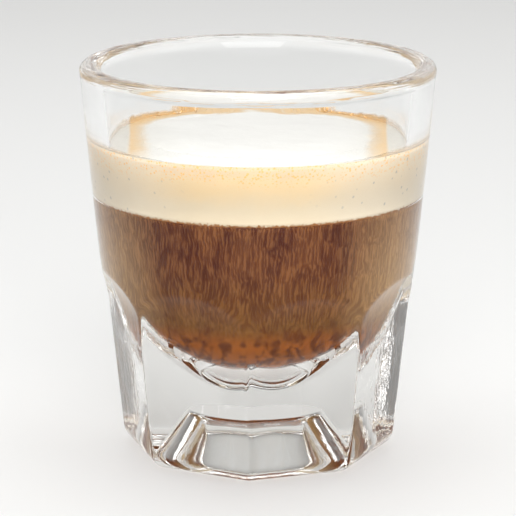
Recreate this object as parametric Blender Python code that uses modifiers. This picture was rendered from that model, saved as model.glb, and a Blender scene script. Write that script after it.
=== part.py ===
# Espresso macchiato in a heavy faceted tumbler.
#
# The glass stands on the plane z = 0 with its axis on +Z. Its upper half is round and its lower half
# has eight flat facets, whose corners lie on the X and Y axes and between them. It holds espresso, a
# layer of milk foam over it, and on top a white cap of foam inside a ring of crema. The four fillings
# stand 0.3 mm clear of the glass and of each other.

import math

import bpy
from mathutils import Matrix, Vector
from mathutils.geometry import interpolate_bezier

# Driving sizes of the glass, in metres
GLASS_HEIGHT = 0.0780
RIM_RADIUS = 0.0350
LIP_CREST_RADIUS = 0.0339      # where the lip is highest
LIP_OUTER_DROP = 0.0017        # height of the lip's outer rounding
LIP_OUTER_HANDLE = 0.55        # reach of its curve handles, as a share of its height and width
LIP_INNER_DROP = 0.0023        # height of the lip's inner rounding
LIP_INNER_HANDLE = 0.42
BODY_TAPER = 0.092             # the outer wall's radius gained for each metre of height
NECK_HEIGHT = 0.0440           # below this the body draws in to meet the facets
NECK_RADIUS_DROP = 0.0016      # how far it has drawn in at the ridge tops
RIDGE_TOP_HEIGHT = 0.0305
BASE_BODY_RADIUS = 0.0284      # the round body's radius at the base, outside every facet
SHOULDER_STEPS = 8

# Facets: flat panels whose tops run out in a curve and so end in arches
FACET_COUNT = 8
FACET_BASE_APOTHEM = 0.0249    # axis to facet at the base
FACET_TAPER = 0.095
FACET_RUNOUT_HEIGHT = 0.0295   # the panel is flat up to here
FACET_RUNOUT_RADIUS = 0.0125   # radius of the curve above it
FACET_TOP_HEIGHT = 0.0420
FACET_FOOT_HEIGHT = 0.0033     # rounding between a facet and the base
FACET_FOOT_DEPTH = 0.0029
FACET_FOOT_HANDLE = 0.50

# Cavity: a round bowl that turns into a tapered wall
CAVITY_FLOOR_HEIGHT = 0.0149
DISH_RADIUS = 0.0155           # the floor is a dish out to this radius
DISH_DEPTH = 0.0071
DISH_POWER = 1.68              # its height grows with this power of the radius
BOWL_TOP_HEIGHT = 0.0330       # from the dish a curve leads up to the wall here
BOWL_HANDLE = 0.45             # reach of that curve's handles, as a share of its height
CAVITY_REFERENCE_HEIGHT = 0.0640
CAVITY_REFERENCE_RADIUS = 0.0258
CAVITY_TAPER = 0.0973          # the wall's radius gained for each metre of height, there
CAVITY_CURVATURE = -0.741      # how far it bows: the square term, per metre

# Recess under the base
RECESS_HEIGHT = 0.0103
RECESS_CEILING_RADIUS = 0.0098
RECESS_MOUTH_RADIUS = 0.0172
RECESS_ROUNDING = 0.0012

# Levels of the filling
GAP = 0.0003
COFFEE_LEVEL = 0.0512
FOAM_LEVEL = 0.0626
RING_LEVEL = 0.0641
CAP_LEVEL = 0.0646
CAP_RADIUS = 0.0234
RING_ROUNDING = 0.0008

ROUND_STEPS = 72
CURVE_STEPS = 7
WALL_STEPS = 4
MERGE_DISTANCE = 0.00001

GLASS_COLOUR = (0.93, 0.94, 0.94, 1.0)
COFFEE_COLOUR = (0.16, 0.055, 0.022, 1.0)
FOAM_COLOUR = (0.82, 0.66, 0.45, 1.0)
CREMA_COLOUR = (0.62, 0.33, 0.10, 1.0)
CAP_COLOUR = (0.93, 0.92, 0.89, 1.0)


def clear_scene():
    """Remove the objects that the scene starts with."""
    for thing in list(bpy.data.objects):
        bpy.data.objects.remove(thing, do_unlink=True)


def new_collection(name):
    """Add a collection to the scene."""
    collection = bpy.data.collections.new(name)
    bpy.context.scene.collection.children.link(collection)
    return collection


def new_material(name, colour, roughness, transmission=0.0):
    """Make a Principled material."""
    material = bpy.data.materials.new(name)
    material.use_nodes = True
    shader = material.node_tree.nodes["Principled BSDF"]
    shader.inputs["Base Color"].default_value = colour
    shader.inputs["Roughness"].default_value = roughness
    shader.inputs["Metallic"].default_value = 0.0
    shader.inputs["Transmission Weight"].default_value = transmission
    material.diffuse_color = colour
    return material


def curve_points(start, start_handle, end_handle, end, steps=CURVE_STEPS):
    """Points of a Bezier stretch in the profile plane, as (radius, height) pairs."""
    corners = [Vector((r, h, 0.0)) for r, h in (start, start_handle, end_handle, end)]
    return [(point.x, point.y) for point in interpolate_bezier(*corners, steps + 1)]


def cavity_wall_radius(height):
    """Radius of the cavity's tapered, slightly bowed wall."""
    rise = height - CAVITY_REFERENCE_HEIGHT
    return CAVITY_REFERENCE_RADIUS + CAVITY_TAPER * rise + CAVITY_CURVATURE * rise * rise


def cavity_wall_slope(height):
    """Radius that the wall gains for each metre at one height."""
    return CAVITY_TAPER + 2.0 * CAVITY_CURVATURE * (height - CAVITY_REFERENCE_HEIGHT)


def wall_points(bottom, top, clearance=0.0, steps=WALL_STEPS):
    """Points up the cavity's wall between two heights, moved in by a clearance."""
    heights = [bottom + (top - bottom) * step / steps for step in range(steps + 1)]
    return [(cavity_wall_radius(height) - clearance, height) for height in heights]


def bowl_points(clearance=0.0):
    """The bowl from its floor up to its wall, moved in by a clearance."""
    floor = CAVITY_FLOOR_HEIGHT + clearance
    rim_radius = DISH_RADIUS - clearance
    points = []
    for step in range(CURVE_STEPS + 1):
        share = step / CURVE_STEPS
        points.append((rim_radius * share, floor + DISH_DEPTH * share ** DISH_POWER))
    dish_rim = points[-1]
    dish_slope = DISH_DEPTH * DISH_POWER / DISH_RADIUS
    reach = BOWL_HANDLE * (BOWL_TOP_HEIGHT - CAVITY_FLOOR_HEIGHT - DISH_DEPTH)
    along = reach / math.hypot(1.0, dish_slope)
    wall_foot = (cavity_wall_radius(BOWL_TOP_HEIGHT) - clearance, BOWL_TOP_HEIGHT)
    points += curve_points(
        dish_rim,
        (dish_rim[0] + along, dish_rim[1] + along * dish_slope),
        (wall_foot[0] - cavity_wall_slope(BOWL_TOP_HEIGHT) * reach, wall_foot[1] - reach),
        wall_foot,
    )[1:]
    return points


def body_radius(height):
    """Outer radius of the round wall above the neck."""
    return RIM_RADIUS - BODY_TAPER * (GLASS_HEIGHT - height)


def glass_profile():
    """Half section of the uncut glass, from the cavity's floor over the lip to the recess."""
    lip_inner_height = GLASS_HEIGHT - LIP_INNER_DROP
    lip_inner_radius = cavity_wall_radius(lip_inner_height)
    crest = (LIP_CREST_RADIUS, GLASS_HEIGHT)
    lip_outer = (body_radius(GLASS_HEIGHT - LIP_OUTER_DROP), GLASS_HEIGHT - LIP_OUTER_DROP)
    inner_rise = LIP_INNER_HANDLE * LIP_INNER_DROP
    outer_rise = LIP_OUTER_HANDLE * LIP_OUTER_DROP
    lip_width = LIP_CREST_RADIUS - lip_inner_radius
    lip_reach = lip_outer[0] - LIP_CREST_RADIUS
    inner_rounding = curve_points(
        (lip_inner_radius, lip_inner_height),
        (lip_inner_radius + cavity_wall_slope(lip_inner_height) * inner_rise, lip_inner_height + inner_rise),
        (LIP_CREST_RADIUS - LIP_INNER_HANDLE * lip_width, GLASS_HEIGHT),
        crest,
    )
    outer_rounding = curve_points(
        crest,
        (LIP_CREST_RADIUS + LIP_OUTER_HANDLE * lip_reach, GLASS_HEIGHT),
        (lip_outer[0] + BODY_TAPER * outer_rise, lip_outer[1] + outer_rise),
        lip_outer,
    )
    neck = (body_radius(NECK_HEIGHT), NECK_HEIGHT)
    ridge_top = (neck[0] - NECK_RADIUS_DROP, RIDGE_TOP_HEIGHT)
    reach = 0.35 * (NECK_HEIGHT - RIDGE_TOP_HEIGHT)
    shoulder = curve_points(
        neck,
        (neck[0] - BODY_TAPER * reach, NECK_HEIGHT - reach),
        (ridge_top[0] + BODY_TAPER * reach, RIDGE_TOP_HEIGHT + reach),
        ridge_top,
        steps=SHOULDER_STEPS,
    )
    recess_slope = (RECESS_MOUTH_RADIUS - RECESS_CEILING_RADIUS) / RECESS_HEIGHT
    ceiling_rounding = curve_points(
        (RECESS_CEILING_RADIUS + recess_slope * RECESS_ROUNDING, RECESS_HEIGHT - RECESS_ROUNDING),
        (RECESS_CEILING_RADIUS, RECESS_HEIGHT),
        (RECESS_CEILING_RADIUS, RECESS_HEIGHT),
        (RECESS_CEILING_RADIUS - RECESS_ROUNDING, RECESS_HEIGHT),
        steps=3,
    )
    mouth_rounding = curve_points(
        (RECESS_MOUTH_RADIUS + RECESS_ROUNDING, 0.0),
        (RECESS_MOUTH_RADIUS, 0.0),
        (RECESS_MOUTH_RADIUS, 0.0),
        (RECESS_MOUTH_RADIUS - recess_slope * RECESS_ROUNDING, RECESS_ROUNDING),
        steps=3,
    )
    points = bowl_points()
    points += wall_points(BOWL_TOP_HEIGHT, lip_inner_height)[1:-1]
    points += inner_rounding
    points += outer_rounding[1:]
    points += shoulder
    points += [(BASE_BODY_RADIUS, 0.0)]
    points += mouth_rounding
    points += ceiling_rounding
    points += [(0.0, RECESS_HEIGHT)]
    return points


def turned_object(name, profile, material, collection):
    """Turn a half section about Z with a Screw modifier. The section runs down its outer side."""
    mesh = bpy.data.meshes.new(name)
    edges = [(i, i + 1) for i in range(len(profile) - 1)]
    mesh.from_pydata([(radius, 0.0, height) for radius, height in profile], edges, [])
    thing = bpy.data.objects.new(name, mesh)
    mesh.materials.append(material)
    collection.objects.link(thing)
    screw = thing.modifiers.new("Turn", 'SCREW')
    screw.axis = 'Z'
    screw.angle = math.tau
    screw.steps = ROUND_STEPS
    screw.render_steps = ROUND_STEPS
    screw.use_merge_vertices = True
    screw.merge_threshold = MERGE_DISTANCE
    screw.use_smooth_shade = True
    return thing


def facet_apothem(height):
    """Distance from the axis to a facet's flat panel."""
    return FACET_BASE_APOTHEM + FACET_TAPER * height


def facet_section():
    """Outline of what one facet takes away, as (radius, height) pairs: foot, panel and run-out."""
    foot_rise = FACET_FOOT_HEIGHT * (1.0 - FACET_FOOT_HANDLE)
    foot = curve_points(
        (facet_apothem(0.0) - FACET_FOOT_DEPTH, 0.0),
        (facet_apothem(0.0) - FACET_FOOT_DEPTH * (1.0 - FACET_FOOT_HANDLE), 0.0),
        (facet_apothem(foot_rise), foot_rise),
        (facet_apothem(FACET_FOOT_HEIGHT), FACET_FOOT_HEIGHT),
        steps=5,
    )
    section = [(foot[0][0], -FACET_FOOT_HEIGHT)]
    section += foot
    run_height = FACET_TOP_HEIGHT - FACET_RUNOUT_HEIGHT
    for step in range(CURVE_STEPS + 1):
        rise = run_height * step / CURVE_STEPS
        height = FACET_RUNOUT_HEIGHT + rise
        section.append((facet_apothem(height) + rise * rise / (2 * FACET_RUNOUT_RADIUS), height))
    clear_radius = 1.3 * RIM_RADIUS
    section += [(clear_radius, FACET_TOP_HEIGHT), (clear_radius, -FACET_FOOT_HEIGHT)]
    return section


def add_facet_cutters(collection):
    """Eight wedges round the foot of the glass, each a flat outline with a thickness."""
    section = facet_section()
    mesh = bpy.data.meshes.new("facet_cutter")
    mesh.from_pydata([(radius, 0.0, height) for radius, height in section], [], [range(len(section))])
    for index in range(FACET_COUNT):
        cutter = bpy.data.objects.new(f"facet_cutter_{index + 1}", mesh)
        collection.objects.link(cutter)
        turn = math.tau * (index + 0.5) / FACET_COUNT
        cutter.matrix_world = Matrix.Rotation(turn, 4, 'Z')
        width = cutter.modifiers.new("Width", 'SOLIDIFY')
        width.thickness = 1.2 * RIM_RADIUS
        width.offset = 0.0
        cutter.display_type = 'WIRE'
        cutter.hide_render = True


def make_glass(parts, cutters):
    """The tumbler: turned, then cut to eight facets."""
    material = new_material("clear_glass", GLASS_COLOUR, 0.02, transmission=1.0)
    glass = turned_object("glass", glass_profile(), material, parts)
    add_facet_cutters(cutters)
    cut = glass.modifiers.new("Facets", 'BOOLEAN')
    cut.operation = 'DIFFERENCE'
    cut.solver = 'EXACT'
    cut.operand_type = 'COLLECTION'
    cut.collection = cutters
    return glass


def make_coffee(parts):
    """The espresso, which fills the bowl up to its level."""
    material = new_material("espresso", COFFEE_COLOUR, 0.30)
    wall = wall_points(BOWL_TOP_HEIGHT, COFFEE_LEVEL, GAP, steps=2)
    profile = [(0.0, COFFEE_LEVEL)]
    profile += list(reversed(wall))
    profile += list(reversed(bowl_points(GAP)))[1:]
    return turned_object("coffee", profile, material, parts)


def make_milk_foam(parts):
    """The foam layer between the espresso and the top."""
    material = new_material("milk_foam", FOAM_COLOUR, 0.60)
    bottom = COFFEE_LEVEL + GAP
    profile = [
        (0.0, FOAM_LEVEL),
        (cavity_wall_radius(FOAM_LEVEL) - GAP, FOAM_LEVEL),
        (cavity_wall_radius(bottom) - GAP, bottom),
        (0.0, bottom),
    ]
    return turned_object("milk_foam", profile, material, parts)


def make_crema_ring(parts):
    """The ring of crema between the foam cap and the glass, with a rounded inner edge."""
    material = new_material("crema", CREMA_COLOUR, 0.45)
    bottom = FOAM_LEVEL + GAP
    inner = CAP_RADIUS + GAP
    outer_top = cavity_wall_radius(RING_LEVEL) - GAP
    outer_bottom = cavity_wall_radius(bottom) - GAP
    profile = curve_points(
        (inner, RING_LEVEL - RING_ROUNDING),
        (inner, RING_LEVEL),
        (inner, RING_LEVEL),
        (inner + RING_ROUNDING, RING_LEVEL),
        steps=3,
    )
    profile += [(outer_top, RING_LEVEL), (outer_bottom, bottom), (inner, bottom)]
    profile.append(profile[0])
    return turned_object("crema_ring", profile, material, parts)


def make_foam_cap(parts):
    """The white cap: a shallow dome with a rounded edge."""
    material = new_material("foam_cap", CAP_COLOUR, 0.55)
    bottom = FOAM_LEVEL + GAP
    edge_height = RING_LEVEL - RING_ROUNDING
    profile = curve_points(
        (0.0, CAP_LEVEL),
        (0.7 * CAP_RADIUS, CAP_LEVEL),
        (CAP_RADIUS, RING_LEVEL),
        (CAP_RADIUS, edge_height),
    )
    profile += [(CAP_RADIUS, bottom), (0.0, bottom)]
    return turned_object("foam_cap", profile, material, parts)


def main():
    """Build the filled glass."""
    clear_scene()
    parts = new_collection("espresso_macchiato")
    cutters = new_collection("cutters")
    make_glass(parts, cutters)
    make_coffee(parts)
    make_milk_foam(parts)
    make_crema_ring(parts)
    make_foam_cap(parts)


main()
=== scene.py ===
"""The looks of an espresso macchiato in its faceted glass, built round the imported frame.

The glass is turned from one half section, and its foot is then pulled in to eight facets. The drink's
pieces reach a hair into the glass wall, so that no air shows between them and it.
"""

import math
import random

import bmesh
import bpy
from bpy.props import FloatProperty, FloatVectorProperty, IntProperty, PointerProperty
from mathutils import Matrix, Vector, noise
from mathutils.geometry import interpolate_bezier


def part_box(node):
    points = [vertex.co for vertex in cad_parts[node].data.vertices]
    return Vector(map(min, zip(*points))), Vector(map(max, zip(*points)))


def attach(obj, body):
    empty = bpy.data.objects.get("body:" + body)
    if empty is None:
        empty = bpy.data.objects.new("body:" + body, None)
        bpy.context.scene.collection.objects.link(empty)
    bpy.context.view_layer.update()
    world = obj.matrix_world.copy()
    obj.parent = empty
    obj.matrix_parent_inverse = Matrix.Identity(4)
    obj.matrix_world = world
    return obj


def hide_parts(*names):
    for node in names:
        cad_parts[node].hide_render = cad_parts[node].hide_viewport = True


bl_info = {
    "name": "Espresso macchiato",
    "version": (1, 0, 0),
    "blender": (4, 5, 0),
    "location": "View3D > Sidebar > Macchiato",
    "description": "Builds a filled, faceted glass of espresso macchiato on its packed frame",
    "category": "Add Mesh",
}

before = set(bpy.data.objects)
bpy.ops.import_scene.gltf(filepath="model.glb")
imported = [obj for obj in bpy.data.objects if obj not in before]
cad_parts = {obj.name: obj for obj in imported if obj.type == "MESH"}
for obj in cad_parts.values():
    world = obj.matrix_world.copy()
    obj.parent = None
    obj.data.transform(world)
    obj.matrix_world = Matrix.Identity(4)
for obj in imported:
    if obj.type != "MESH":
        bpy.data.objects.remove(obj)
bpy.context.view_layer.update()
BODY = "root"
MILLIMETRE = 0.001

# Levels and radii that the frame gives
GLASS_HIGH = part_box("glass")[1]
COFFEE_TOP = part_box("coffee")[1].z
RING_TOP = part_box("crema_ring")[1].z
RING_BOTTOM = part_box("crema_ring")[0].z
CAP_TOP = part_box("foam_cap")[1].z
CAP_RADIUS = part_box("foam_cap")[1].x

GLASS_STEPS = 400              # a multiple of 16, so that corners and facet centres get a vertex
DRINK_STEPS = 256
BOWL_STEPS = 24                # the same in the glass and the coffee, so that the two follow each other
MERGE_DISTANCE = 1e-6
HAIR = 0.0001                  # an overlap or gap too small to see
INSET = 0.0004                 # how far a hidden or rounded edge of the drink stands back
CAP_OVERLAP = 0.0015           # of the foam cap over the crema ring
FILM_THICKNESS = 0.00008       # of the crema film, inwards from the wall

# The outer wall lies outside this radius, which grows with height, and the cavity and the recess inside it
OUTSIDE_RADIUS = 0.02514
OUTSIDE_TAPER = 0.1

# The shoulders of the film, in degrees from the back, and the radius at which the surface is highest
SHOULDER_ANGLE = 60.0
SHOULDER_SPREAD = 20.0
SURFACE_REACH = 0.029

# The pattern on the upper side, in millimetres. It is fixed to the drink, turned about the axis.
PATTERN_TURN = math.radians(4.2)
PATTERN_LEAN = 0.14            # what its sides lean outwards towards the back
PATTERN_HALF_WIDTH = 23.4
CAP_BACK = 20.9                # distances behind the middle at which white gives way to caramel
RING_BACK = 22.5
REFLECTION_FROM = 25.1               # distances to the side between which the grey painted reflection comes in
REFLECTION_TO = 25.9

BUBBLE_SEED = 7
BUBBLE_SIZES = (0.00008, 0.0003)
BUBBLE_ARC = (math.radians(32.0), math.radians(148.0))
BUBBLE_GAP = 0.0003            # between the wall and the nearest bubbles
BUBBLE_BAND = 0.0016           # width of the band they lie in

PHOTO_SIZE = 516
SENSOR_WIDTH = 36.0
FLOOR_SIZE = 3.0

# Each light's name, the setting with its power, the side of its square and its place, in metres
LIGHTS = (
    ("front_light", "front_light", 1.8, (0.30, -2.00, 1.15)),
    ("top_light", "top_light", 0.9, (0.0, 0.05, 0.95)),
    ("left_light", "side_light", 0.5, (-0.75, -0.30, 0.35)),
    ("right_light", "side_light", 0.5, (0.75, -0.30, 0.35)),
)
LIGHT_TARGET = Vector((0.0, 0.0, 0.045))


def length(name, description, default):
    """A property in metres."""
    return FloatProperty(
        name=name, description=description, default=default, unit="LENGTH", subtype="DISTANCE", precision=5
    )


def share(name, description, default):
    """A plain number property."""
    return FloatProperty(name=name, description=description, default=default, precision=4)


def colour(name, description, default):
    """A colour property, in linear light."""
    return FloatVectorProperty(
        name=name, description=description, default=default, size=3, subtype="COLOR", min=0.0, max=1.0
    )


def from_screen(red, green, blue):
    """Linear light of a colour given as it shows on a screen, 0 to 255."""
    return tuple(
        c / 12.92 if c <= 0.04045 else ((c + 0.055) / 1.055) ** 2.4
        for c in (red / 255, green / 255, blue / 255)
    )


class GlassSettings(bpy.types.PropertyGroup):
    """Sizes and finish of the glass."""

    height: length("Height", "Height of the glass", GLASS_HIGH.z)
    rim_radius: length("Rim radius", "Radius that the outer wall would have at full height", 0.0350)
    taper: share("Taper", "Radius that the outer wall gains for each metre of height", 0.092)
    crest_radius: length("Crest radius", "Radius where the lip is highest", 0.0332)
    bead_radius: length("Bead radius", "Radius where the lip's bead meets its inner bevel", 0.0313)
    bead_drop: length("Bead drop", "Height of the crest over that edge", 0.0008)
    lip_outer_drop: length("Outer lip", "Height of the lip's outer rounding", 0.0017)
    lip_inner_drop: length("Inner lip", "Height of the lip's inner rounding", 0.0027)
    neck_height: length("Neck", "Height below which the body draws in", 0.0440)
    neck_drop: length("Neck draw", "How far the body draws in down to the ridge tops", 0.0016)
    ridge_top: length("Ridge top", "Height where the ridges between facets begin", 0.0305)
    base_body_radius: length("Base radius", "Radius of the uncut body at the base", 0.0284)
    base_ring_radius: length("Base ring", "Radius under the base that the facets don't reach", 0.0212)
    facet_count: IntProperty(name="Facets", description="Number of facets", default=8, min=3)
    apothem: length("Apothem", "Distance from the axis to a facet at the base", 0.0249)
    facet_taper: share("Facet taper", "Apothem gained for each metre of height", 0.095)
    runout_height: length("Run-out", "Height where the facets begin to curve outwards", 0.0295)
    runout_radius: length("Run-out radius", "Radius of that curve", 0.0125)
    ridge_rounding: length("Ridge rounding", "Softness of the ridges between facets", 0.00035)
    arch_rounding: length("Arch rounding", "Softness of the arches at the facets' tops", 0.0003)
    foot_height: length("Foot height", "Height of the rounding at the facets' feet", 0.0033)
    foot_depth: length("Foot depth", "Depth of the rounding at the facets' feet", 0.0029)
    floor_height: length("Cavity floor", "Height of the cavity's floor", 0.0149)
    dish_radius: length("Dish radius", "Radius of the dished floor", 0.0155)
    dish_depth: length("Dish depth", "Rise of the dished floor to its rim", 0.0071)
    dish_power: share("Dish power", "Power of the radius that the dish rises with", 1.68)
    bowl_top: length("Bowl top", "Height where the bowl meets the cavity's wall", 0.0330)
    bowl_handle: share("Bowl handle", "Reach of the bowl's curve handles, as a share of its height", 0.45)
    wall_height: length("Wall reference", "Height at which the cavity's radius is given", 0.0640)
    wall_radius: length("Wall radius", "Radius of the cavity at that height", 0.0258)
    wall_taper: share("Wall taper", "Radius that the cavity gains for each metre there", 0.0973)
    wall_bow: share("Wall bow", "Square term of the cavity's radius, per metre", -0.741)
    widening: length("Widening", "How far the cavity widens towards its mouth", 0.0036)
    widening_low: length("Widening from", "Height where the widening begins", 0.0510)
    widening_high: length("Widening to", "Height where the widening ends", 0.0630)
    recess_height: length("Recess", "Height of the recess under the base", 0.0103)
    recess_ceiling: length("Recess ceiling", "Radius of the recess's ceiling", 0.0098)
    recess_mouth: length("Recess mouth", "Radius of the recess's mouth", 0.0172)
    recess_rounding: length("Recess rounding", "Rounding of the recess's edges", 0.0012)
    index_of_refraction: share("Index of refraction", "Index of refraction of the glass", 1.52)
    shine: share("Shine", "Strength of the glass's reflections, where 1 is that of real glass", 0.45)
    clear_tint: colour("Clear glass", "Tint of the glass", (0.985, 0.99, 0.988))
    thick_tint: colour("Thick glass", "Greyer tint on the outside of the thick foot", (0.83, 0.825, 0.81))
    shadow_tint: colour("Shadow", "Tint of the light in the glass's shadow", (0.95, 0.955, 0.95))


class DrinkSettings(bpy.types.PropertyGroup):
    """Sizes and colours of what the glass holds."""

    seat: length("Seat", "How far the drink reaches into the glass wall", 0.00005)
    contact_height: length("Contact", "Height at which the foam meets the wall in front", 0.0634)
    film_height: length("Film", "Rise of the crema film on the wall, at the back and the sides", 0.0014)
    shoulder_height: length("Shoulders", "Extra rise of the film at its two shoulders", 0.0011)
    coffee_dark: colour("Coffee", "Dark colour of the coffee", from_screen(66, 20, 0))
    coffee_tan: colour("Coffee streaks", "Colour of the milky streaks", from_screen(168, 112, 62))
    coffee_gold: colour("Coffee depth", "Golden brown of the lower coffee", from_screen(144, 102, 40))
    # Painted glow: orange brown light painted on the coffee at the bottom of the bowl.
    coffee_painted_glow: colour("Painted coffee glow", "Orange brown at the bottom of the bowl", from_screen(164, 88, 18))
    coffee_edge: colour("Coffee edge", "Pale tan at the left and the right", from_screen(206, 168, 118))
    foam_cream: colour("Foam", "Cream colour of the foam layer", from_screen(234, 207, 164))
    foam_peach: colour("Foam top", "Peach colour at the foam layer's top", from_screen(222, 196, 164))
    foam_pale: colour("Foam foot", "Paler colour at the foam layer's foot", from_screen(222, 206, 178))
    foam_side: colour("Foam sides", "Paler colour at its left and right", from_screen(230, 218, 198))
    pore: colour("Pores", "Brown of the foam layer's pores", from_screen(176, 136, 98))
    # Painted shade: grey in the larger pits at the foam layer's sides.
    pit_shade: colour("Pit shade", "Grey of the larger pits at the foam layer's sides", from_screen(160, 158, 158))
    bubble: colour("Bubbles", "Orange of the small bubbles", from_screen(240, 184, 96))
    crema: colour("Crema", "Colour of the crema ring", from_screen(206, 182, 148))
    crema_deep: colour("Deep crema", "Deeper colour in the crema ring", from_screen(212, 174, 116))
    white: colour("White foam", "Colour of the white foam cap", from_screen(221, 219, 215))
    # Painted shade: the white foam greys towards its sides.
    painted_cap_shade: colour("Painted foam shade", "Colour of the white foam towards the crema", from_screen(204, 200, 191))
    # Painted reflection: grey standing in for the surroundings seen in the clear glass beside the foam.
    painted_reflection: colour("Painted reflection", "Colour of the painted reflection grey beside the foam", from_screen(197, 192, 182))
    coffee_index: share("Coffee index", "Index of refraction of the coffee", 1.34)
    foam_index: share("Foam index", "Index of refraction of the wet milk foam", 1.40)
    bubble_count: IntProperty(
        name="Bubble count", description="Bubbles on the crema ring", default=180, min=0
    )


class StageSettings(bpy.types.PropertyGroup):
    """The camera, lights and floor."""

    camera_distance: length("Distance", "Level distance from the glass's axis to the camera", 0.515)
    camera_height: length("Camera height", "Height of the camera over the floor", 0.166)
    camera_turn: FloatProperty(
        name="Turn",
        description="Turn of the camera about the glass",
        default=math.radians(4.2),
        subtype="ANGLE",
    )
    aim_height: length("Aim", "Height that the camera looks at", 0.03835)
    lens_pixels: share("Lens", "Focal length in pixels of the photo's frame", 2672.0)
    backdrop: colour("Backdrop", "Colour of the surroundings behind the glass", (0.84, 0.835, 0.82))
    room: colour("Room", "Colour of the surroundings on the camera's side", (0.22, 0.22, 0.216))
    floor: colour("Floor", "Colour of the floor", (0.80, 0.80, 0.795))
    front_light: share("Front light", "Power of the light over the camera, in watts", 50.0)
    top_light: share("Top light", "Power of the light over the glass, in watts", 5.0)
    side_light: share("Side light", "Power of each light at the side, in watts", 0.8)


# Meshes


def curve_points(start, start_handle, end_handle, end, steps):
    """Points of a Bezier stretch in the section's plane, as (radius, height) pairs."""
    corners = [Vector((r, h, 0.0)) for r, h in (start, start_handle, end_handle, end)]
    return [(point.x, point.y) for point in interpolate_bezier(*corners, steps + 1)]


def straight_points(start, end, steps):
    """Evenly spaced points between two of the section's points."""
    return [
        tuple(a + (b - a) * step / steps for a, b in zip(start, end)) for step in range(steps + 1)
    ]


def cavity_radius(glass, height):
    """Radius of the cavity's wall at one height."""
    rise = height - glass.wall_height
    part = (height - glass.widening_low) / (glass.widening_high - glass.widening_low)
    part = min(1.0, max(0.0, part))
    wider = glass.widening * part * part * (3.0 - 2.0 * part)
    return glass.wall_radius + glass.wall_taper * rise + glass.wall_bow * rise * rise + wider


def cavity_slope(glass, height):
    """Radius that the cavity's wall gains for each metre at one height."""
    step = 0.00005
    return (cavity_radius(glass, height + step) - cavity_radius(glass, height - step)) / (2.0 * step)


def wall_points(glass, bottom, top, steps, outset=0.0):
    """The cavity's wall from one height to another, moved outwards by the outset."""
    heights = [bottom + (top - bottom) * step / steps for step in range(steps + 1)]
    return [(cavity_radius(glass, height) + outset, height) for height in heights]


def bowl_points(glass, steps, outset=0.0):
    """The bowl from its centre up to the wall, moved outwards by the outset."""
    floor = glass.floor_height - outset
    rim = glass.dish_radius + outset
    points = []
    for step in range(steps + 1):
        part = step / steps
        points.append((rim * part, floor + glass.dish_depth * part**glass.dish_power))
    slope = glass.dish_depth * glass.dish_power / glass.dish_radius
    reach = glass.bowl_handle * (glass.bowl_top - glass.floor_height - glass.dish_depth)
    along = reach / math.hypot(1.0, slope)
    dish_rim = points[-1]
    foot = (cavity_radius(glass, glass.bowl_top) + outset, glass.bowl_top)
    points += curve_points(
        dish_rim,
        (dish_rim[0] + along, dish_rim[1] + along * slope),
        (foot[0] - cavity_slope(glass, glass.bowl_top) * reach, foot[1] - reach),
        foot,
        steps,
    )[1:]
    return points


def body_radius(glass, height):
    """Radius of the round outer wall above the neck."""
    return glass.rim_radius - glass.taper * (glass.height - height)


def shoulder_curve(glass, steps):
    """The outer wall from the neck down to the ridge tops."""
    neck = (body_radius(glass, glass.neck_height), glass.neck_height)
    ridge = (neck[0] - glass.neck_drop, glass.ridge_top)
    reach = 0.35 * (glass.neck_height - glass.ridge_top)
    return curve_points(
        neck,
        (neck[0] - glass.taper * reach, neck[1] - reach),
        (ridge[0] + glass.taper * reach, ridge[1] + reach),
        ridge,
        steps,
    )


def foot_heights(glass, steps):
    """Heights down the foot's rounding, closer together towards its bottom."""
    quarter = 0.5 * math.pi
    return [glass.foot_height * (1.0 - math.sin(quarter * step / steps)) for step in range(1, steps + 1)]


def lip_points(glass):
    """The rim from the cavity's wall over the bevel and the bead to the outer wall.

    The bare numbers are the shares of each stretch that its curve handles reach over.
    """
    foot_height = glass.height - glass.lip_inner_drop
    foot = (cavity_radius(glass, foot_height), foot_height)
    edge = (glass.bead_radius, glass.height - glass.bead_drop)
    crest = (glass.crest_radius, glass.height)
    outer_height = glass.height - glass.lip_outer_drop
    outer = (body_radius(glass, outer_height), outer_height)
    rise = 0.42 * glass.lip_inner_drop
    width = edge[0] - foot[0]
    points = curve_points(
        foot,
        (foot[0] + cavity_slope(glass, foot_height) * rise, foot[1] + rise),
        (edge[0] - 0.45 * width, edge[1] - 0.10 * glass.lip_inner_drop),
        edge,
        14,
    )
    bead = crest[0] - edge[0]
    points += curve_points(
        edge,
        (edge[0] + 0.15 * bead, edge[1] + 0.7 * glass.bead_drop),
        (crest[0] - 0.5 * bead, glass.height),
        crest,
        8,
    )[1:]
    drop = 0.55 * glass.lip_outer_drop
    points += curve_points(
        crest,
        (crest[0] + 0.55 * (outer[0] - crest[0]), glass.height),
        (outer[0] + glass.taper * drop, outer[1] + drop),
        outer,
        8,
    )[1:]
    return points


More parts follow.
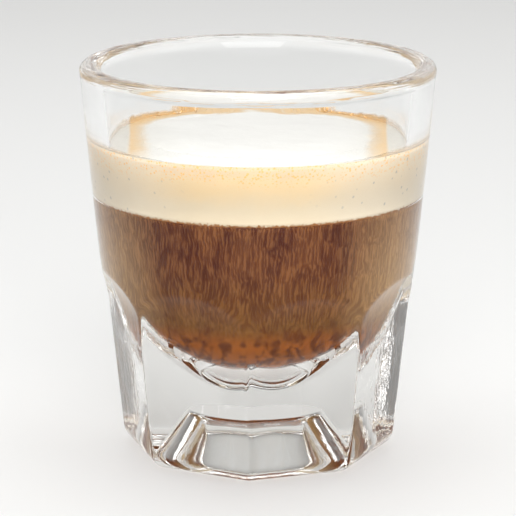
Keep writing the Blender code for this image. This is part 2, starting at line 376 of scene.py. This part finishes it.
def glass_section(glass):
    """Half section of the glass before its facets, from the cavity's centre to the recess's centre."""
    points = bowl_points(glass, BOWL_STEPS)
    lip = lip_points(glass)
    points += wall_points(glass, glass.bowl_top, lip[0][1], 32)[1:]
    points += lip[1:]
    shoulder = shoulder_curve(glass, 34)
    points += straight_points(lip[-1], shoulder[0], 14)[1:]
    points += shoulder[1:]
    base = (glass.base_body_radius, 0.0)
    foot_share = 1.0 - glass.foot_height / glass.ridge_top
    ridge = shoulder[-1]
    foot_top = tuple(a + (b - a) * foot_share for a, b in zip(ridge, base))
    points += straight_points(ridge, foot_top, 40)[1:]
    for height in foot_heights(glass, 10):
        part = height / glass.foot_height
        points.append((base[0] + (foot_top[0] - base[0]) * part, height))
    slope = (glass.recess_mouth - glass.recess_ceiling) / glass.recess_height
    rounding = glass.recess_rounding
    mouth = (glass.recess_mouth, 0.0)
    ceiling = (glass.recess_ceiling, glass.recess_height)
    mouth_top = (mouth[0] - slope * rounding, rounding)
    ceiling_foot = (ceiling[0] + slope * rounding, ceiling[1] - rounding)
    points += straight_points((glass.base_ring_radius, 0.0), (mouth[0] + rounding, 0.0), 3)
    points += curve_points((mouth[0] + rounding, 0.0), mouth, mouth, mouth_top, 6)[1:]
    points += straight_points(mouth_top, ceiling_foot, 14)[1:]
    points += curve_points(ceiling_foot, ceiling, ceiling, (ceiling[0] - rounding, ceiling[1]), 6)[1:]
    points += straight_points((ceiling[0] - rounding, ceiling[1]), (0.0, ceiling[1]), 8)[1:]
    return points


def turned(section, steps):
    """A closed shell, turned about Z from a half section. Ends that both lie off the axis are joined."""
    mesh = bmesh.new()
    corners = [mesh.verts.new((radius, 0.0, height)) for radius, height in section]
    edges = [mesh.edges.new(pair) for pair in zip(corners, corners[1:])]
    if section[0][0] > 0.0 and section[-1][0] > 0.0:
        edges.append(mesh.edges.new((corners[-1], corners[0])))
    bmesh.ops.spin(
        mesh,
        geom=corners + edges,
        cent=(0.0, 0.0, 0.0),
        axis=(0.0, 0.0, 1.0),
        dvec=(0.0, 0.0, 0.0),
        angle=math.tau,
        steps=steps,
        use_merge=True,
        use_normal_flip=False,
        use_duplicate=False,
    )
    bmesh.ops.remove_doubles(mesh, verts=mesh.verts, dist=MERGE_DISTANCE)
    bmesh.ops.recalc_face_normals(mesh, faces=mesh.faces)
    return mesh


def as_object(name, mesh, material, slot, *replaced):
    """Make an object of a bmesh, give it its finish, and let it ride on the glass's body."""
    data = bpy.data.meshes.new(name)
    mesh.to_mesh(data)
    mesh.free()
    data.shade_smooth()
    data.materials.append(material)
    thing = bpy.data.objects.new(name, data)
    bpy.context.scene.collection.objects.link(thing)
    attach(thing, BODY)
    if replaced:
        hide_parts(*replaced)
    return thing


def softer_of(first, second, width):
    """The smaller of two lengths, with the change from one to the other rounded over a width."""
    blend = min(1.0, max(0.0, 0.5 + 0.5 * (second - first) / width))
    return second * (1.0 - blend) + first * blend - width * blend * (1.0 - blend)


def facet_distance(glass, height):
    """Distance from the axis to a facet at one height: foot, flat panel and run-out."""
    distance = glass.apothem + glass.facet_taper * height
    if height > glass.runout_height:
        distance += (height - glass.runout_height) ** 2 / (2.0 * glass.runout_radius)
    if height < glass.foot_height:
        down = 1.0 - height / glass.foot_height
        distance -= glass.foot_depth * (1.0 - math.sqrt(max(0.0, 1.0 - down * down)))
    return distance


def pull_in_facets(glass, mesh):
    """Pull the outer wall of the turned glass in to its facets."""
    step = math.tau / glass.facet_count
    for corner in mesh.verts:
        radius = math.hypot(corner.co.x, corner.co.y)
        height = corner.co.z
        if height > glass.neck_height or radius < OUTSIDE_RADIUS + OUTSIDE_TAPER * height:
            continue
        across = math.atan2(corner.co.y, corner.co.x) / step % 1.0 - 0.5
        distance = facet_distance(glass, height)
        panel = distance / math.cos(across * step)
        neighbour = distance / math.cos((1.0 - abs(across)) * step)
        cut = softer_of(panel, neighbour, glass.ridge_rounding)
        pulled = softer_of(radius, cut, glass.arch_rounding)
        corner.co.x *= pulled / radius
        corner.co.y *= pulled / radius


# Shader maths


class Signal:
    """A shader socket that works in Python expressions. Each operation adds its Math node."""

    def __init__(self, finish, socket):
        self.finish = finish
        self.socket = socket

    def maths(self, operation, *others):
        """Add one Math node that takes this signal first."""
        sockets = dict(enumerate((self, *others)))
        return self.finish.add("ShaderNodeMath", {"operation": operation}, sockets)

    def __add__(self, other):
        return self.maths("ADD", other)

    def __radd__(self, other):
        return self.maths("ADD", other)

    def __sub__(self, other):
        return self.maths("SUBTRACT", other)

    def __rsub__(self, other):
        return (self * -1.0).maths("ADD", other)

    def __mul__(self, other):
        return self.maths("MULTIPLY", other)

    def __rmul__(self, other):
        return self.maths("MULTIPLY", other)

    def __pow__(self, other):
        return self.maths("POWER", other)

    def __abs__(self):
        return (self * self) ** 0.5

    def at_least(self, limit):
        """This signal, or the limit where that is larger."""
        return self.maths("MAXIMUM", limit)

    def at_most(self, limit):
        """This signal, or the limit where that is smaller."""
        return self.maths("MINIMUM", limit)


class Finish:
    """The nodes of one material, or of the surroundings, and the plain calls that build them."""

    def __init__(self, owner, place="Object"):
        self.owner = owner
        self.owner.use_nodes = True
        self.tree = self.owner.node_tree
        self.tree.nodes.clear()
        self.place = self.add("ShaderNodeTexCoord", {}, {}, place)

    def add(self, kind, settings, sockets, output=0):
        """Add a node: its settings first, then the values or links of its sockets. Returns one output."""
        node = self.tree.nodes.new(kind)
        for name, value in settings.items():
            setattr(node, name, value)
        for key, value in sockets.items():
            if isinstance(value, Signal):
                self.tree.links.new(value.socket, node.inputs[key])
            else:
                node.inputs[key].default_value = value
        return Signal(self, node.outputs[output])

    def parts(self):
        """The x, y and z of the place."""
        node = self.add("ShaderNodeSeparateXYZ", {}, {0: self.place}).socket.node
        return [Signal(self, output) for output in node.outputs]

    def axes(self):
        """The x, y and z of the object's coordinates, in millimetres."""
        return [part * (1.0 / MILLIMETRE) for part in self.parts()]

    def vector(self, x, y, z):
        """Three signals as one vector."""
        return self.add("ShaderNodeCombineXYZ", {}, {0: x, 1: y, 2: z})

    def grain(self, vector, scale, detail=3.0, roughness=0.5, distortion=0.0):
        """Noise from 0 to 1."""
        sockets = {
            "Vector": vector,
            "Scale": scale,
            "Detail": detail,
            "Roughness": roughness,
            "Distortion": distortion,
        }
        return self.add("ShaderNodeTexNoise", {}, sockets, "Fac")

    def cells(self, vector, scale):
        """The distance to the nearest of many scattered points."""
        return self.add("ShaderNodeTexVoronoi", {}, {"Vector": vector, "Scale": scale}, "Distance")

    def rise(self, value, low, high):
        """A smooth step from 0 at low to 1 at high, which may be the smaller."""
        sockets = {"Value": value, "From Min": low, "From Max": high}
        return self.add("ShaderNodeMapRange", {"interpolation_type": "SMOOTHSTEP"}, sockets, "Result")

    def mix(self, factor, *colours):
        """Two colours, each a signal or three numbers, mixed."""
        first, second = (tone if isinstance(tone, Signal) else (*tone, 1.0) for tone in colours)
        return self.add("ShaderNodeMix", {"data_type": "RGBA"}, {0: factor, 6: first, 7: second}, 2)

    def bump(self, height, distance, strength):
        """A bumped normal from a height between 0 and 1, over a distance in metres."""
        sockets = {"Strength": strength, "Distance": distance, "Height": height}
        return self.add("ShaderNodeBump", {}, sockets, "Normal")

    def surface(self, sockets):
        """An opaque or glassy surface."""
        return self.add("ShaderNodeBsdfPrincipled", {}, sockets)

    def close(self, shader, kind="ShaderNodeOutputMaterial"):
        """Connect the last shader, and return the material or the surroundings."""
        output = self.tree.nodes.new(kind)
        self.tree.links.new(shader.socket, output.inputs["Surface"])
        return self.owner


def new_finish(name):
    """The nodes of a new material."""
    return Finish(bpy.data.materials.new(name))


# Finishes. Their lengths are in millimetres, except the distances of bumps and the scales of finish.place.


def glass_finish(glass):
    """Clear pressed glass: waves of its mould, fine lines round its lip, and a greyer, dimpled foot."""
    finish = new_finish("clear_glass_finish")
    x, y, z = finish.axes()
    turn = finish.add("ShaderNodeMath", {"operation": "ARCTAN2"}, {0: y, 1: x})
    radius = (x * x + y * y) ** 0.5
    waves = finish.grain(finish.place, 90.0, 2.0, 0.4)
    lip = finish.rise(z, 74.9, 76.2) * finish.rise(radius, 30.4, 31.6)
    lines = finish.grain(finish.vector(turn * 3.0, radius * 1.9, z * 1.9), 1.0, 1.0, 0.5)
    foot = finish.rise(z, 4.5, 0.5)
    dimples = finish.grain(finish.place, 420.0, 2.0, 0.5)
    ripples = finish.grain(finish.vector(x * 0.3, y * 0.3, z * 0.12), 1.0, 3.0, 0.6)
    aside = finish.rise(abs(x), 17.0, 22.0) * finish.rise(z, 34.0, 27.0)
    relief = waves * 0.26 + lines * lip * 1.2 + dimples * foot * 0.18 + ripples * aside * 1.4
    normal = finish.bump(relief, 0.0002, 0.8)
    thick = finish.rise(z, 34.0, 25.0) * finish.rise(radius, 21.0, 22.0)
    sockets = {
        "Base Color": finish.mix(thick, glass.clear_tint, glass.thick_tint),
        "Roughness": 0.0,
        "IOR": glass.index_of_refraction,
        "Specular Tint": (glass.shine, glass.shine, glass.shine, 1.0),
        "Transmission Weight": 1.0,
        "Normal": normal,
    }
    body = finish.surface(sockets)
    clear = finish.add("ShaderNodeBsdfTransparent", {}, {"Color": (*glass.shadow_tint, 1.0)})
    shadow = finish.add("ShaderNodeLightPath", {}, {}, "Is Shadow Ray")
    return finish.close(finish.add("ShaderNodeMixShader", {}, {0: shadow, 1: body, 2: clear}))


def wet_against_glass(finish, body, relative_index):
    """A shader for what wets the glass: at a low angle the glass mirrors instead of showing it.

    The relative index is the drink's index of refraction over that of the glass.
    """
    mirror = finish.add("ShaderNodeBsdfGlossy", {}, {"Color": (1.0, 1.0, 1.0, 1.0), "Roughness": 0.0})
    edge = finish.add("ShaderNodeFresnel", {}, {"IOR": relative_index})
    return finish.add("ShaderNodeMixShader", {}, {0: edge, 1: body, 2: mirror})


def coffee_finish(glass, drink):
    """Espresso with milk drifting through it in upright streaks, golden towards the bottom, with a painted
    orange glow of light at the very bottom.
    """
    finish = new_finish("espresso_finish")
    x, y, z = finish.axes()
    drift = finish.grain(finish.vector(x * 0.20, y * 0.20, z * 0.26), 1.0, 2.0) - 0.5
    sway = finish.grain(finish.vector(x * 0.7, y * 0.7, z * 0.5), 1.0, 1.0) - 0.5
    fine = finish.grain(
        finish.vector(x * 2.9 + drift * 4.0 + sway, y * 2.9 - drift * 4.0 + sway, z * 0.15), 1.0, 2.0, 0.6
    )
    broad = finish.grain(finish.vector(x * 0.30 + drift, y * 0.30, z * 0.07 + drift), 1.0, 3.0, 0.55)
    mottle = finish.grain(finish.vector(x, y, z * 0.7), 0.46, 4.0, 0.55, 0.6)
    streak = finish.rise(fine, 0.43, 0.64) * 0.7 + finish.rise(broad, 0.42, 0.66) * 0.3
    side = finish.rise(abs(x), 14.0, 26.5)
    low = finish.rise(z, 44.0, 30.0)
    # Painted glow: where it is painted, towards the bottom of the bowl, in patches.
    bottom = finish.rise(z + (mottle - 0.5) * 6.0, 31.5, 26.0)
    tone = finish.mix(streak * 0.40 + side * 0.10, drink.coffee_dark, drink.coffee_tan)
    golden = finish.mix(streak * 0.36 + mottle * 0.50, drink.coffee_dark, drink.coffee_gold)
    tone = finish.mix(low * 0.75, tone, golden)
    glow_patches = finish.rise(mottle, 0.38, 0.60) * 0.75 + 0.2
    glow = finish.mix(glow_patches, drink.coffee_dark, drink.coffee_painted_glow)
    tone = finish.mix(bottom * 0.85, tone, glow)
    pale = side * (finish.rise(z, 52.0, 36.0) * 0.5 + 0.35) * (0.7 + streak * 0.45)
    tone = finish.mix(pale, tone, drink.coffee_edge)
    specks = finish.cells(finish.vector(x, y, z), 2.6)
    froth = finish.rise(specks, 0.36, 0.16) * finish.rise(z, 49.9, 51.2) * 0.7
    tone = finish.mix(froth, tone, drink.coffee_tan)
    body = finish.surface({"Base Color": tone, "Roughness": 0.7, "Specular IOR Level": 0.0})
    return finish.close(wet_against_glass(finish, body, drink.coffee_index / glass.index_of_refraction))


def side_tone(finish, drink, x, y, z):
    """Colour of the milk foam seen through the wall. Upwards: a ragged tan edge, pale, cream, peach.

    Orange bubbles lie near its top, brown pores everywhere, and pits at its left and right, greyed with
    painted shade.
    """
    spot = finish.vector(x, y, z)
    cloud = finish.grain(spot, 0.20, 4.0, 0.6)
    level = z + (cloud - 0.5) * 4.0
    tone = finish.mix(finish.rise(level, 53.5, 59.5), drink.foam_pale, drink.foam_cream)
    tone = finish.mix(finish.rise(level, 59.8, 63.0), tone, drink.foam_peach)
    side = finish.rise(abs(x), 8.0, 22.0)
    tone = finish.mix(side * 0.65, tone, drink.foam_side)
    dots = finish.cells(spot, 1.5)
    size = finish.grain(spot, 0.8, 1.0)
    row = finish.rise(z, 58.2, 61.6)
    bubbles = finish.rise(dots, 0.38, 0.24) * finish.rise(size, 0.36, 0.48) * row
    tone = finish.mix(bubbles * 0.75, tone, drink.bubble)
    small = finish.rise(finish.cells(spot, 2.2), 0.34, 0.18) * finish.rise(z, 59.4, 62.0)
    tone = finish.mix(small * 0.5, tone, drink.bubble)
    pores = finish.rise(finish.cells(spot, 2.9), 0.18, 0.06)
    tone = finish.mix(pores * 0.25, tone, drink.pore)
    # Painted shade: the larger pits at the sides are greyed.
    pits = finish.rise(finish.cells(finish.vector(x, y, z * 0.6), 0.62), 0.16, 0.11) * side
    tone = finish.mix(pits * 0.6, tone, drink.pit_shade)
    ragged = finish.rise(finish.grain(spot, 1.9, 3.0) * 1.3 + z, 52.35, 51.95)
    return finish.mix(ragged, tone, drink.coffee_tan)


def in_pattern(x, y):
    """How far a place lies to the side in the pattern, less its lean, and how far behind its middle."""
    across = x * math.cos(PATTERN_TURN) + y * math.sin(PATTERN_TURN)
    behind = y * math.cos(PATTERN_TURN) - x * math.sin(PATTERN_TURN)
    return abs(across) - behind * PATTERN_LEAN, behind


def painted_reflection_edge(finish, x, y):
    """1 at the left and the right wall, where the upper side is painted grey as a painted reflection, else
    0.
    """
    sideways, _ = in_pattern(x, y)
    return finish.rise(sideways, REFLECTION_FROM, REFLECTION_TO)


def top_tone(finish, drink, x, y, z, back):
    """Colour of the drink's upper side: white in the middle, with painted shade towards the sides, caramel
    at the sides and the back, and a grey painted reflection at the left and the right wall.
    """
    spot = finish.vector(x, y, z)
    cloud = finish.grain(spot, 0.28, 4.0, 0.6)
    fine = finish.grain(spot, 1.3, 3.0, 0.6)
    sideways, behind = in_pattern(x, y)
    aside = (sideways * (1.0 / PATTERN_HALF_WIDTH)).at_least(0.0) ** 3
    beyond = (behind * (1.0 / back)).at_least(0.0) ** 3
    place = (aside + beyond + aside * beyond * 1.5) ** (1.0 / 3.0)
    slack = aside.at_most(1.0)
    uneven = ((cloud - 0.5) * 0.10 + (fine - 0.5) * 0.05) * (slack * 0.9 + 0.1)
    edge = finish.rise(place + uneven, 0.975 - slack * 0.085, 1.0 + slack * 0.02)
    front = finish.rise(y, -25.0, -14.0)
    deep = finish.rise(place + uneven, 0.995 - slack * 0.01, 1.01 + slack * 0.07) * front
    # Painted shade on the white foam, stronger towards the sides of the upper side.
    painted_cap_shade = finish.rise(place + (cloud - 0.5) * 0.3, 0.50, 0.97) * slack
    tone = finish.mix(painted_cap_shade * 0.6, drink.white, drink.painted_cap_shade)
    tone = finish.mix(edge * (front * 0.8 + 0.2), tone, drink.crema)
    tone = finish.mix(deep * 0.8, tone, drink.crema_deep)
    # Painted reflection: grey at the left and the right wall.
    return finish.mix(painted_reflection_edge(finish, x, y), tone, drink.painted_reflection)


def foam_finish(glass, drink):
    """Fine wet milk foam behind the glass."""
    finish = new_finish("milk_foam_finish")
    tone = side_tone(finish, drink, *finish.axes())
    body = finish.surface({"Base Color": tone, "Roughness": 0.8, "Specular IOR Level": 0.0})
    return finish.close(wet_against_glass(finish, body, drink.foam_index / glass.index_of_refraction))


def cap_finish(drink):
    """Smooth white foam with soft folds and pinholes, which takes on the crema's colour at its edge and
    has painted shade towards its sides.
    """
    finish = new_finish("foam_cap_finish")
    x, y, z = finish.axes()
    spot = finish.vector(x, y, z)
    tone = top_tone(finish, drink, x, y, z, CAP_BACK)
    folds = finish.grain(spot, 0.20, 3.0, 0.55)
    pinholes = finish.rise(finish.cells(spot, 1.1), 0.10, 0.18)
    height = folds * 0.7 + pinholes * 0.08
    sockets = {"Base Color": tone, "Roughness": 0.45, "Normal": finish.bump(height, 0.0012, 0.3)}
    return finish.close(finish.surface(sockets))


def crema_finish(drink):
    """Wet crema on top, with a film that thins out up the wall."""
    finish = new_finish("crema_finish")
    x, y, z = finish.axes()
    spot = finish.vector(x, y, z)
    tone = top_tone(finish, drink, x, y, z, RING_BACK)
    cells = finish.cells(spot, 1.6)
    climb = finish.add("ShaderNodeAttribute", {"attribute_name": "climb"}, {}, "Fac")
    grain = finish.grain(spot, 0.7, 3.0, 0.6)
    cover = finish.rise(climb + (grain - 0.5) * 0.5, 1.0, 0.30)
    on_wall = finish.rise(climb, 0.0, 0.1)
    # Where the grey painted reflection lies, the film on the wall turns peach and thinner.
    painted_reflection = on_wall * painted_reflection_edge(finish, x, y)
    tone = finish.mix(painted_reflection, tone, drink.foam_peach)
    cover = cover * (1.0 - painted_reflection * 0.6)
    height = finish.rise(cells, 0.45, 0.05)
    sockets = {
        "Base Color": tone,
        "Roughness": 0.35,
        "Alpha": cover,
        "Normal": finish.bump(height, 0.0003, 0.4),
    }
    return finish.close(finish.surface(sockets))


def bubble_finish(drink):
    """The thin wet skin of a crema bubble."""
    finish = new_finish("bubble_finish")
    cloud = finish.grain(finish.place, 900.0, 2.0)
    tone = finish.mix(finish.rise(cloud, 0.35, 0.65), drink.crema, drink.bubble)
    sockets = {"Base Color": tone, "Roughness": 0.12, "Coat Weight": 0.6, "Coat Roughness": 0.03}
    return finish.close(finish.surface(sockets))


def floor_finish(stage):
    """The plain pale floor, with a hint of unevenness in its gloss."""
    finish = new_finish("floor_finish")
    grain = finish.grain(finish.place, 8.0, 2.0)
    sockets = {"Base Color": (*stage.floor, 1.0), "Roughness": 0.55 + 0.1 * grain}
    return finish.close(finish.surface(sockets))


# Operators


def shoulder(x, y):
    """How strongly the drink climbs the wall at one place round it: most at its two shoulders."""
    angle = math.degrees(math.atan2(abs(x), y))
    return math.exp(-(((angle - SHOULDER_ANGLE) / SHOULDER_SPREAD) ** 2))


def past(value, middle):
    """0 well below the middle and 1 well above it, with a soft change between."""
    return 0.5 + 0.5 * math.tanh((value - middle) * 6.0)


def film_rise(drink, x, y):
    """Height of the crema film on the wall: least in front, and half of the sides' at the back."""
    backwards = y / math.hypot(x, y)
    front = past(-backwards, 0.62)
    back = past(backwards, 0.35)
    film = drink.film_height * (1.0 - 0.88 * front) * (1.0 - 0.5 * back)
    return film + drink.shoulder_height * shoulder(x, y)


def surface_rise(drink, x, y):
    """How far the foam's upper side stands up near the wall, at its shoulders."""
    reach = min(1.0, math.hypot(x, y) / SURFACE_REACH)
    if reach < 0.2:
        return 0.0
    return 0.2 * drink.shoulder_height * shoulder(x, y) * reach**6


def roughen(mesh, lowest, amount, scale):
    """Lift and lower what lies above a height by smooth noise."""
    for corner in mesh.verts:
        if corner.co.z > lowest:
            corner.co.z += amount * noise.noise(corner.co * scale)


class MACCHIATO_OT_glass(bpy.types.Operator):
    """Make the faceted glass"""

    bl_idname = "macchiato.glass"
    bl_label = "Glass"

    def execute(self, context):
        glass = context.scene.macchiato_glass
        mesh = turned(glass_section(glass), GLASS_STEPS)
        pull_in_facets(glass, mesh)
        as_object("tumbler", mesh, glass_finish(glass), "clear_glass", "glass")
        return {"FINISHED"}


class MACCHIATO_OT_coffee(bpy.types.Operator):
    """Make the espresso, which fills the bowl and wets the glass"""

    bl_idname = "macchiato.coffee"
    bl_label = "Espresso"

    def execute(self, context):
        glass = context.scene.macchiato_glass
        drink = context.scene.macchiato_drink
        section = bowl_points(glass, BOWL_STEPS, drink.seat)
        section += wall_points(glass, glass.bowl_top, COFFEE_TOP, 16, drink.seat)[1:]
        section += straight_points(section[-1], (0.0, COFFEE_TOP), 12)[1:]
        mesh = turned(section, DRINK_STEPS)
        as_object("espresso", mesh, coffee_finish(glass, drink), "espresso", "coffee")
        return {"FINISHED"}


class MACCHIATO_OT_milk_foam(bpy.types.Operator):
    """Make the foam layer over the espresso"""

    bl_idname = "macchiato.milk_foam"
    bl_label = "Milk foam"

    def execute(self, context):
        glass = context.scene.macchiato_glass
        drink = context.scene.macchiato_drink
        bottom = COFFEE_TOP - HAIR
        section = straight_points((0.0, bottom), (cavity_radius(glass, bottom) - INSET, bottom), 10)
        section += wall_points(glass, COFFEE_TOP, drink.contact_height, 14, drink.seat)
        section += straight_points(section[-1], (0.0, drink.contact_height), 12)[1:]
        mesh = turned(section, DRINK_STEPS)
        as_object("foam_layer", mesh, foam_finish(glass, drink), "milk_foam", "milk_foam")
        return {"FINISHED"}


class MACCHIATO_OT_crema(bpy.types.Operator):
    """Make the crema ring, with the film that it leaves on the glass"""

    bl_idname = "macchiato.crema"
    bl_label = "Crema ring"

    def execute(self, context):
        glass = context.scene.macchiato_glass
        drink = context.scene.macchiato_drink
        inner = CAP_RADIUS - CAP_OVERLAP
        edge = RING_TOP - INSET
        contact = drink.contact_height
        wall = cavity_radius(glass, contact)
        film_top = contact + drink.film_height
        section = [(inner, RING_BOTTOM)]
        section += curve_points(
            (inner, edge),
            (inner, RING_TOP),
            (wall - 3.0 * INSET, RING_TOP),
            (wall - FILM_THICKNESS, contact),
            20,
        )
        section += wall_points(glass, contact, film_top, 8, -FILM_THICKNESS)[1:]
        section += wall_points(glass, film_top, contact, 8, drink.seat)
        section += [(wall - INSET, contact - 0.5 * INSET), (wall - 1.5 * INSET, RING_BOTTOM)]
        mesh = turned(section, DRINK_STEPS)
        climb = mesh.verts.layers.float.new("climb")
        for corner in mesh.verts:
            x, y, z = corner.co
            radius = math.hypot(x, y)
            if z > contact + MERGE_DISTANCE and radius > cavity_radius(glass, z) - HAIR:
                corner[climb] = (z - contact) / drink.film_height
                height = contact + corner[climb] * film_rise(drink, x, y)
                turned_out = (radius + cavity_radius(glass, height) - cavity_radius(glass, z)) / radius
                corner.co = (x * turned_out, y * turned_out, height)
            elif z > RING_BOTTOM + MERGE_DISTANCE:
                corner.co.z += surface_rise(drink, x, y)
        roughen(mesh, lowest=RING_TOP - 0.0003, amount=0.00015, scale=900.0)
        as_object("crema", mesh, crema_finish(drink), "crema", "crema_ring")
        return {"FINISHED"}


class MACCHIATO_OT_foam_cap(bpy.types.Operator):
    """Make the white foam cap, a shallow uneven dome"""

    bl_idname = "macchiato.foam_cap"
    bl_label = "Foam cap"

    def execute(self, context):
        drink = context.scene.macchiato_drink
        edge = RING_TOP - INSET
        section = straight_points((0.0, RING_BOTTOM), (CAP_RADIUS, RING_BOTTOM), 8)
        section += curve_points(
            (CAP_RADIUS, edge),
            (CAP_RADIUS, RING_TOP),
            (0.8 * CAP_RADIUS, CAP_TOP),
            (0.0, CAP_TOP),
            40,
        )
        mesh = turned(section, DRINK_STEPS)
        for corner in mesh.verts:
            if corner.co.z > edge - MERGE_DISTANCE:
                corner.co.z += surface_rise(drink, corner.co.x, corner.co.y)
        roughen(mesh, lowest=edge - MERGE_DISTANCE, amount=0.00022, scale=160.0)
        as_object("white_foam", mesh, cap_finish(drink), "foam_cap", "foam_cap")
        return {"FINISHED"}


class MACCHIATO_OT_bubbles(bpy.types.Operator):
    """Strew small bubbles over the crema ring"""

    bl_idname = "macchiato.bubbles"
    bl_label = "Bubbles"

    def execute(self, context):
        drink = context.scene.macchiato_drink
        glass = context.scene.macchiato_glass
        draw = random.Random(BUBBLE_SEED)
        smallest, largest = BUBBLE_SIZES
        wall = cavity_radius(glass, RING_TOP)
        single = bmesh.new()
        bmesh.ops.create_icosphere(single, subdivisions=2, radius=1.0)
        pattern = bpy.data.meshes.new("bubble_pattern")
        single.to_mesh(pattern)
        single.free()
        mesh = bmesh.new()
        for _ in range(drink.bubble_count):
            size = smallest + (largest - smallest) * draw.random() ** 3
            angle = draw.uniform(*BUBBLE_ARC)
            radius = wall - size - BUBBLE_GAP - BUBBLE_BAND * draw.random() ** 1.5
            x = radius * math.cos(angle)
            y = radius * math.sin(angle)
            height = RING_TOP - HAIR + surface_rise(drink, x, y)
            start = len(mesh.verts)
            mesh.from_mesh(pattern)
            mesh.verts.ensure_lookup_table()
            matrix = Matrix.Translation((x, y, height)) @ Matrix.Diagonal((size, size, size * 0.75, 1.0))
            for corner in mesh.verts[start:]:
                corner.co = matrix @ corner.co
        bpy.data.meshes.remove(pattern)
        as_object("crema_bubbles", mesh, bubble_finish(drink), "crema")
        return {"FINISHED"}


class MACCHIATO_OT_stage(bpy.types.Operator):
    """Make the floor, the lights and the camera"""

    bl_idname = "macchiato.stage"
    bl_label = "Stage"

    def execute(self, context):
        stage = context.scene.macchiato_stage
        scene = context.scene
        self.make_floor(scene, stage)
        self.make_surroundings(scene, stage)
        for name, power, size, place in LIGHTS:
            self.make_light(scene, name, getattr(stage, power), size, Vector(place))
        self.make_camera(scene, stage)
        scene.view_settings.view_transform = "Standard"
        scene.cycles.max_bounces = 32
        scene.cycles.transmission_bounces = 32
        scene.cycles.glossy_bounces = 16
        scene.cycles.transparent_max_bounces = 16
        scene.cycles.sample_clamp_indirect = 6.0
        return {"FINISHED"}

    @staticmethod
    def make_floor(scene, stage):
        """A wide plain floor, a hair under the glass."""
        mesh = bmesh.new()
        bmesh.ops.create_grid(mesh, x_segments=1, y_segments=1, size=FLOOR_SIZE)
        bmesh.ops.translate(mesh, verts=mesh.verts, vec=(0.0, 0.0, -HAIR))
        data = bpy.data.meshes.new("floor")
        mesh.to_mesh(data)
        mesh.free()
        data.materials.append(floor_finish(stage))
        floor = bpy.data.objects.new("floor", data)
        scene.collection.objects.link(floor)

    @staticmethod
    def make_surroundings(scene, stage):
        """Soft light from all round, brighter behind the glass than on the camera's side."""
        finish = Finish(bpy.data.worlds.new("surroundings"), "Generated")
        _, backwards, upwards = finish.parts()
        behind = finish.rise(backwards, -0.55, 0.25) * finish.rise(upwards, 0.95, 0.30)
        tone = finish.mix(behind, stage.room, stage.backdrop)
        light = finish.add("ShaderNodeBackground", {}, {"Color": tone})
        scene.world = finish.close(light, "ShaderNodeOutputWorld")

    @staticmethod
    def make_light(scene, name, watts, size, place):
        """One soft square light that looks at the glass."""
        data = bpy.data.lights.new(name, "AREA")
        data.shape = "SQUARE"
        data.size = size
        data.energy = watts
        light = bpy.data.objects.new(name, data)
        light.location = place
        light.rotation_euler = (LIGHT_TARGET - place).to_track_quat("-Z", "Y").to_euler()
        scene.collection.objects.link(light)

    @staticmethod
    def make_camera(scene, stage):
        """The camera, where the photo was taken from."""
        data = bpy.data.cameras.new("photo_camera")
        data.sensor_width = SENSOR_WIDTH
        data.lens = SENSOR_WIDTH * stage.lens_pixels / PHOTO_SIZE
        data.clip_start = 0.01
        camera = bpy.data.objects.new("photo_camera", data)
        side = stage.camera_distance * math.sin(stage.camera_turn)
        back = stage.camera_distance * math.cos(stage.camera_turn)
        camera.location = (side, -back, stage.camera_height)
        aim = Vector((0.0, 0.0, stage.aim_height)) - camera.location
        camera.rotation_euler = aim.to_track_quat("-Z", "Y").to_euler()
        scene.collection.objects.link(camera)
        scene.camera = camera


class MACCHIATO_PT_panel(bpy.types.Panel):
    """Lists the steps that build the drink"""

    bl_label = "Espresso macchiato"
    bl_idname = "MACCHIATO_PT_panel"
    bl_space_type = "VIEW_3D"
    bl_region_type = "UI"
    bl_category = "Macchiato"

    def draw(self, context):
        for settings in ("macchiato_glass", "macchiato_drink", "macchiato_stage"):
            group = getattr(context.scene, settings)
            box = self.layout.box()
            for name in group.__annotations__:
                box.prop(group, name)
        for step in STEPS:
            self.layout.operator(step.bl_idname)


STEPS = (
    MACCHIATO_OT_glass,
    MACCHIATO_OT_coffee,
    MACCHIATO_OT_milk_foam,
    MACCHIATO_OT_crema,
    MACCHIATO_OT_foam_cap,
    MACCHIATO_OT_bubbles,
    MACCHIATO_OT_stage,
)
CLASSES = (GlassSettings, DrinkSettings, StageSettings, *STEPS, MACCHIATO_PT_panel)


def register():
    """Register the classes and hang the settings on the scene."""
    for thing in CLASSES:
        bpy.utils.register_class(thing)
    bpy.types.Scene.macchiato_glass = PointerProperty(type=GlassSettings)
    bpy.types.Scene.macchiato_drink = PointerProperty(type=DrinkSettings)
    bpy.types.Scene.macchiato_stage = PointerProperty(type=StageSettings)


def unregister():
    """Take the settings and classes away again."""
    del bpy.types.Scene.macchiato_stage
    del bpy.types.Scene.macchiato_drink
    del bpy.types.Scene.macchiato_glass
    for thing in reversed(CLASSES):
        bpy.utils.unregister_class(thing)


def main():
    """Build every piece in order."""
    register()
    bpy.ops.macchiato.glass()
    bpy.ops.macchiato.coffee()
    bpy.ops.macchiato.milk_foam()
    bpy.ops.macchiato.crema()
    bpy.ops.macchiato.foam_cap()
    bpy.ops.macchiato.bubbles()
    bpy.ops.macchiato.stage()


if __name__ == "__main__":
    main()
